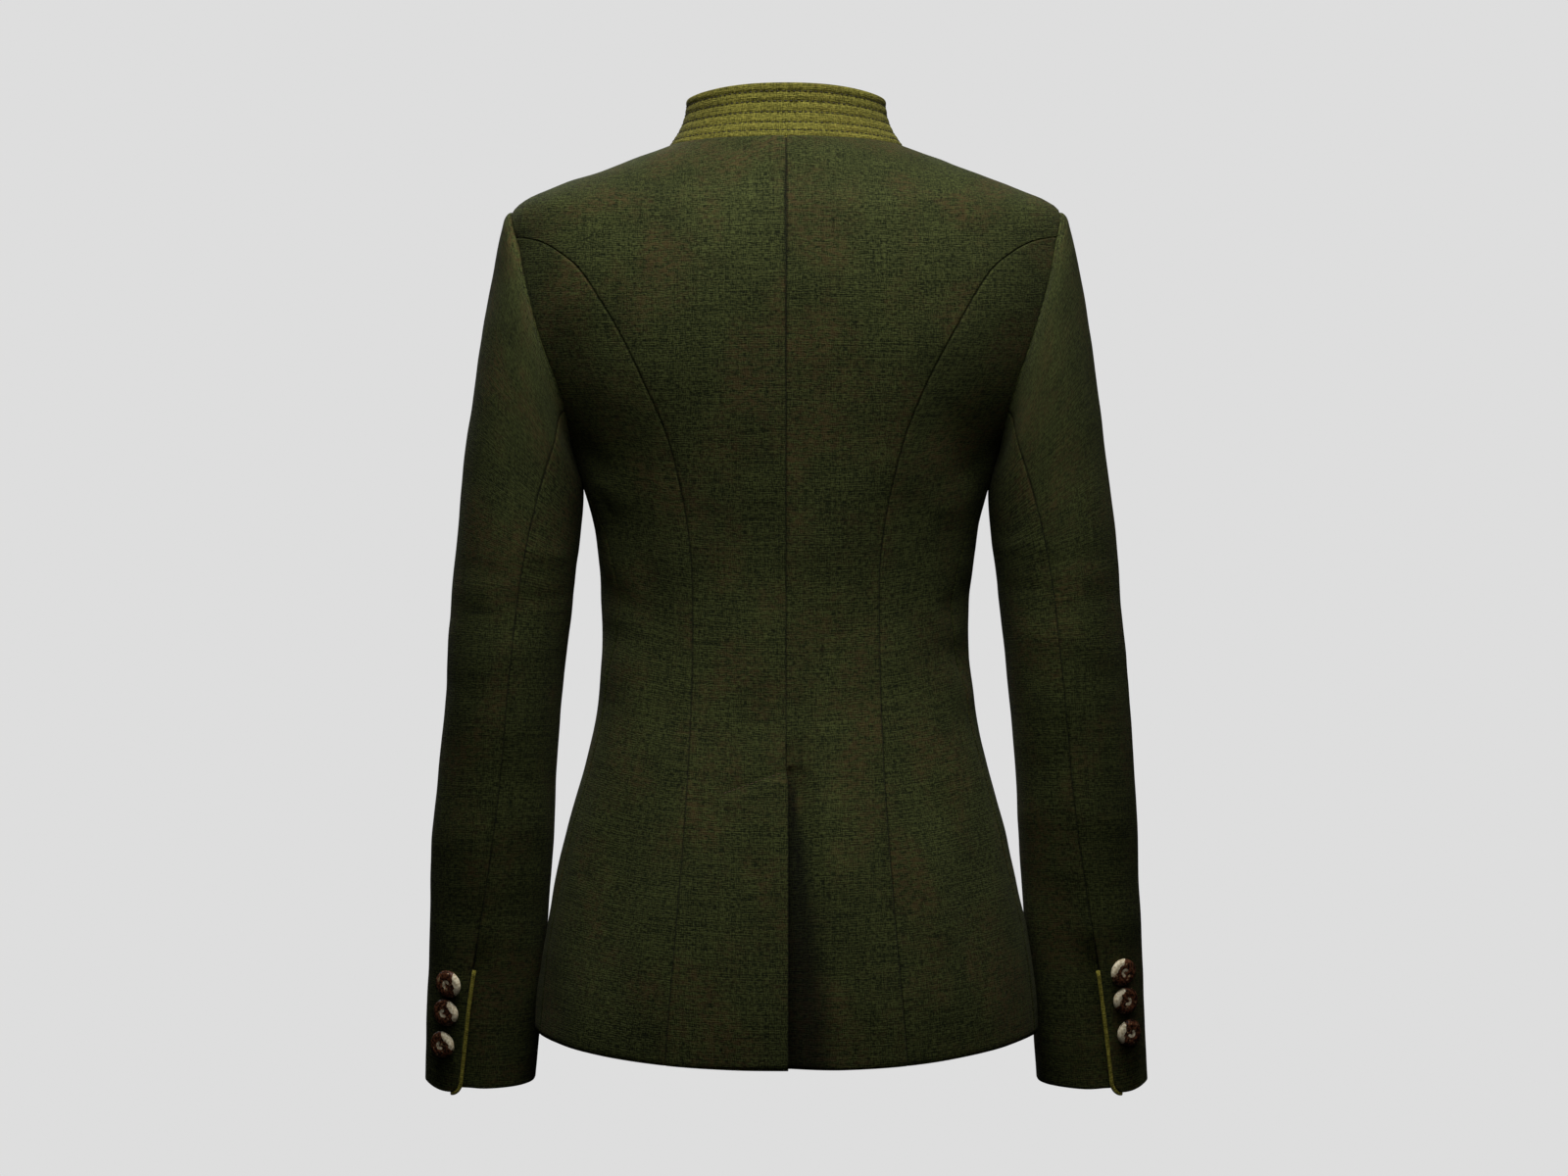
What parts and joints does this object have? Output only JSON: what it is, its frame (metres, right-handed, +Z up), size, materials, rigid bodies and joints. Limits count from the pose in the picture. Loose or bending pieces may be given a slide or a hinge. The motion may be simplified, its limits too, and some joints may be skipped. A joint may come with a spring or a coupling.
{
  "type": "linen jacket",
  "caption": "Fitted, hip-length linen jacket with a ribbed stand collar, curved back seams, a back vent and buttoned cuff vents, filled out as worn and open at neck, hem and cuffs",
  "frame": {"origin": "middle of the neck's base, between the inner ends of the shoulder seams, where the wearer's neck and shoulders hold the jacket up", "axes": "+Z up; the wearer faces -Y, so +Y is the back; +X is the wearer's left"},
  "size_m": [0.4996, 0.2428, 0.6887],
  "materials": {
    "green_linen": "matte heathered linen, dark moss green with brown slubs",
    "olive_linen": "matte olive-lime linen, stitched in bands",
    "horn": "satin stag horn, brown bark over a cream core"
  },
  "bodies": {
    "root": {"back_left": "green_linen", "front_left": "green_linen", "side_back_left": "green_linen", "side_front_left": "green_linen", "back_right": "green_linen", "front_right": "green_linen", "side_back_right": "green_linen", "side_front_right": "green_linen", "collar": "olive_linen", "front_button_1": "horn", "front_button_2": "horn", "front_button_3": "horn", "front_button_4": "horn", "front_button_5": "horn", "upper_sleeve_left": "green_linen", "under_sleeve_left": "green_linen", "cuff_piping_left": "olive_linen", "cuff_button_left_1": "horn", "cuff_button_left_2": "horn", "cuff_button_left_3": "horn", "upper_sleeve_right": "green_linen", "under_sleeve_right": "green_linen", "cuff_piping_right": "olive_linen", "cuff_button_right_1": "horn", "cuff_button_right_2": "horn", "cuff_button_right_3": "horn"}
  },
  "joints": []
}
